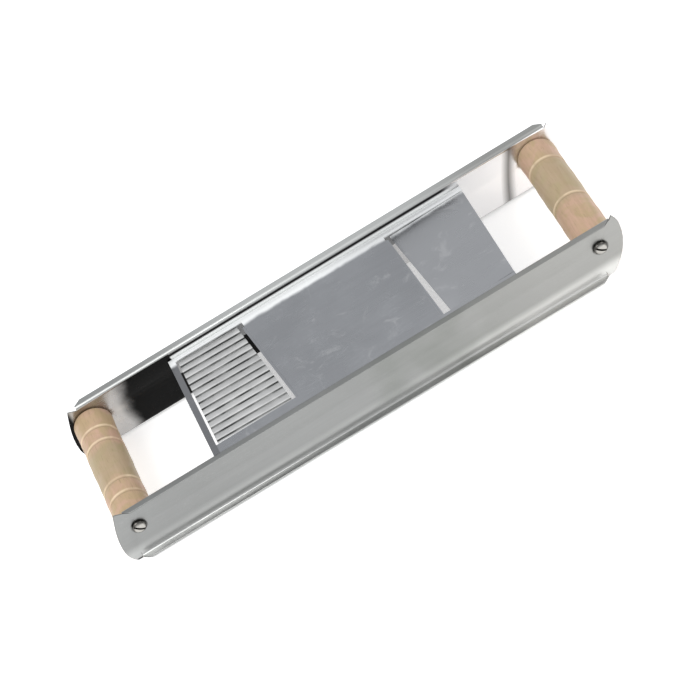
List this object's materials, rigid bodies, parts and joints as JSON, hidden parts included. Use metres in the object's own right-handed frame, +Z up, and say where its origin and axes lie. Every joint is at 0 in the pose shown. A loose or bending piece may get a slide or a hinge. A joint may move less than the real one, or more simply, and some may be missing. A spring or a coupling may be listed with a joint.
{
  "type": "vegetable slicer",
  "caption": "Long sheet-steel vegetable slicer with a turned wooden handle across each end, a fixed deck, and a plain and a ribbed feed ramp that tilt.",
  "frame": {"origin": "on the ground plane, under the middle of the whole slicer", "axes": "+X along the slicer towards the plain ramp, +Y across it towards the far rail, +Z up out of the cutting deck"},
  "size_m": [0.383, 0.123, 0.0445],
  "materials": {
    "rail_steel": "satin stainless sheet, lightly scratched",
    "deck_steel": "satin stainless sheet, darker, wiped along its length",
    "ribbed_steel": "bright pressed ribs",
    "blade_steel": "ground strip",
    "screw_steel": "bright plated",
    "wire_steel": "drawn wire",
    "handle_wood": "turned pale hardwood, thin matt varnish"
  },
  "bodies": {
    "frame": {"rail_near": "rail_steel", "rail_far": "rail_steel", "handle_left": "handle_wood", "handle_right": "handle_wood", "screw_near_left": "screw_steel", "screw_near_right": "screw_steel", "screw_far_left": "screw_steel", "screw_far_right": "screw_steel", "deck": "deck_steel", "blade_plain": "blade_steel", "blade_ribbed": "blade_steel", "pivot_rod_plain": "wire_steel", "pivot_rod_ribbed": "wire_steel", "bridge_plain": "deck_steel", "bridge_ribbed": "deck_steel", "spring_plain": "wire_steel", "spring_ribbed": "wire_steel"},
    "plain_ramp": {"ramp_plain": "deck_steel", "stud_plain": "wire_steel"},
    "ribbed_ramp": {"ramp_ribbed": "ribbed_steel", "stud_ribbed": "wire_steel"},
    "plain_nut": {"wing_nut_plain": "screw_steel"},
    "ribbed_nut": {"wing_nut_ribbed": "screw_steel"}
  },
  "joints": [
    {"name": "plain_nut_turn", "type": "hinge", "parent": "frame", "child": "plain_nut", "pos_m": [0.083, 0, 0.0226], "axis": [0, 0, 1], "range_deg": [-360, 600]},
    {"name": "plain_ramp_tilt", "type": "hinge", "parent": "frame", "child": "plain_ramp", "pos_m": [0.113, 0, 0.032], "axis": [0, 1, 0], "range_deg": [-2.24, 1.35], "deforming": ["spring_plain"]},
    {"name": "ribbed_nut_turn", "type": "hinge", "parent": "frame", "child": "ribbed_nut", "pos_m": [-0.0672, 0, 0.0226], "axis": [0, 0, 1], "range_deg": [-360, 600]},
    {"name": "ribbed_ramp_tilt", "type": "hinge", "parent": "frame", "child": "ribbed_ramp", "pos_m": [-0.0972, 0, 0.032], "axis": [0, 1, 0], "range_deg": [-1.35, 2.24], "deforming": ["spring_ribbed"]}
  ],
  "couplings": [
    {"joint": "plain_ramp_tilt", "follows": "plain_nut_turn", "ratio": -0.0037136},
    {"joint": "ribbed_ramp_tilt", "follows": "ribbed_nut_turn", "ratio": 0.0037136}
  ]
}
